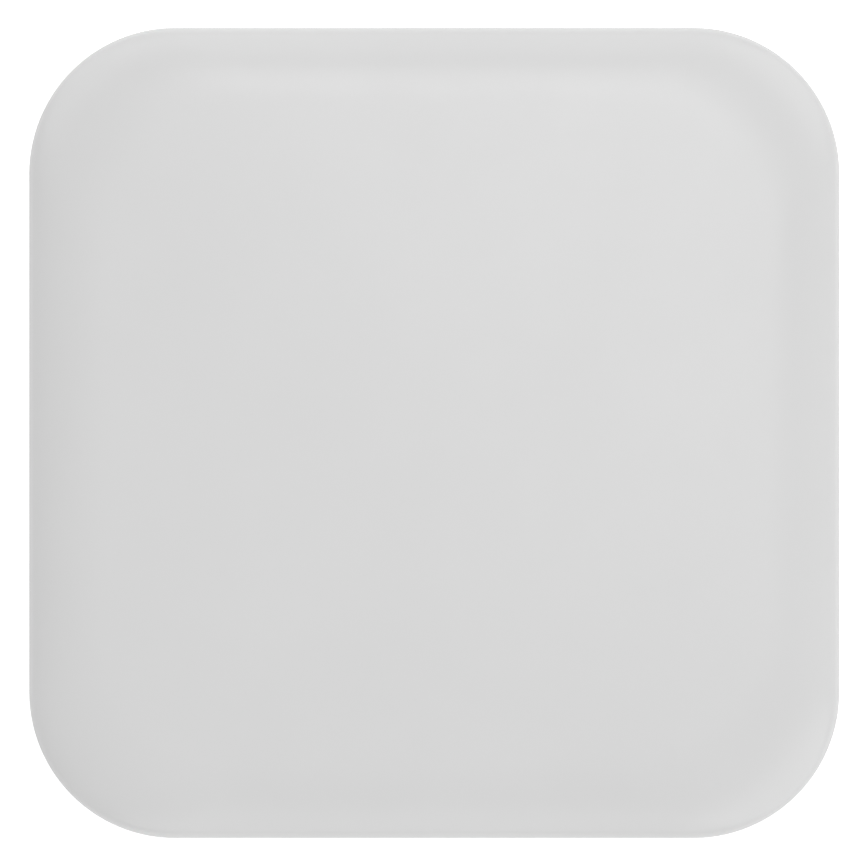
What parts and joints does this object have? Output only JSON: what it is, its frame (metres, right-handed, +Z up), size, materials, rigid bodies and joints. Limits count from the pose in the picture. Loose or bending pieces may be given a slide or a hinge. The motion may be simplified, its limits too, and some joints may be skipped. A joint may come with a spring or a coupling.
{
  "type": "wireless charging pad",
  "caption": "Square wireless charging pad with rounded corners and a rolled edge, a smooth crowned lid over a coil and board, rubber feet and a USB-C inlet.",
  "frame": {"origin": "centre of the footprint, on the surface that the feet stand on", "axes": "+Z up through the charging face; +Y towards the rear side with the USB-C inlet; +X to the right, seen from the front side with the status light"},
  "size_m": [0.1, 0.1, 0.01],
  "materials": {
    "shell": "smooth satin, very fine grain",
    "rubber": "matt, non-slip",
    "diffuser": "frosted, translucent",
    "led": "white body, clear lens",
    "board": "solder mask over copper",
    "chip": "moulded epoxy",
    "moulding": "moulded nylon with glass fibre",
    "capacitor": "sintered, tinned ends",
    "steel": "zinc plated",
    "port_shell": "nickel plated",
    "copper": "enamelled litz wire",
    "ferrite": "sintered, dark grey",
    "carrier": "moulded",
    "tape": "double-sided tape",
    "foam": "closed-cell foam",
    "aluminium": "rolled sheet",
    "silicone": "soft gap filler",
    "sensor": "epoxy bead",
    "cable": "insulated twin lead"
  },
  "bodies": {
    "root": {"top_cover": "shell", "base_cover": "shell", "foot_front_left": "rubber", "foot_front_right": "rubber", "foot_rear_left": "rubber", "foot_rear_right": "rubber", "light_pipe": "diffuser", "status_led": "led", "main_board": "board", "controller_chip": "chip", "bridge_chip_left": "chip", "bridge_chip_right": "chip", "sense_resistor": "chip", "usb_c_core": "moulding", "input_capacitor_1": "capacitor", "input_capacitor_2": "capacitor", "resonance_capacitor_1": "capacitor", "resonance_capacitor_2": "capacitor", "resonance_capacitor_3": "capacitor", "resonance_capacitor_4": "capacitor", "cover_screw_front_left": "steel", "cover_screw_front_right": "steel", "cover_screw_rear_left": "steel", "cover_screw_rear_right": "steel", "board_screw_front_left": "steel", "board_screw_front_right": "steel", "board_screw_rear_left": "steel", "board_screw_rear_right": "steel", "crystal": "steel", "usb_c_shell": "port_shell", "transmit_coil": "copper", "ferrite_plate": "ferrite", "power_inductor": "ferrite", "coil_carrier": "carrier", "coil_adhesive": "tape", "foam_spacer": "foam", "heat_spreader": "aluminium", "thermal_pad": "silicone", "thermistor": "sensor", "thermistor_lead": "cable"}
  },
  "joints": []
}
